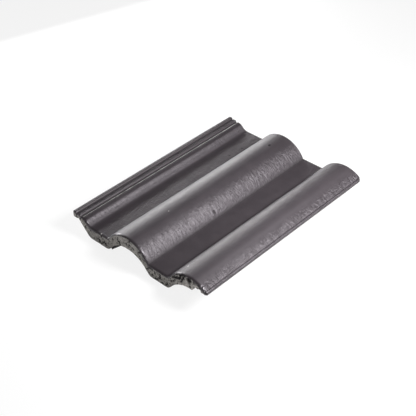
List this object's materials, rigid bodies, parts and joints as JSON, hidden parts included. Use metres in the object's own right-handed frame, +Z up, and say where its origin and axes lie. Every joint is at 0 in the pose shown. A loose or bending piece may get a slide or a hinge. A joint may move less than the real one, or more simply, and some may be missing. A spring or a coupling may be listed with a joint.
{
  "type": "interlocking roof tile",
  "caption": "Interlocking concrete roof tile with rounded rolls between flat pans, a ribbed side lap, a thick nose, hanging nibs and a nail hole near the tail.",
  "frame": {"origin": "on the floor under the middle of the tile, which lies level on its nose foot and its hanging nibs", "axes": "+X across the tile towards its covering edge, +Y up the slope from the nose to the tail, +Z up out of the weather face"},
  "size_m": [0.33, 0.42, 0.057],
  "materials": {
    "coated_concrete": "satin"
  },
  "bodies": {
    "root": {"roof_tile": "coated_concrete"}
  },
  "joints": []
}
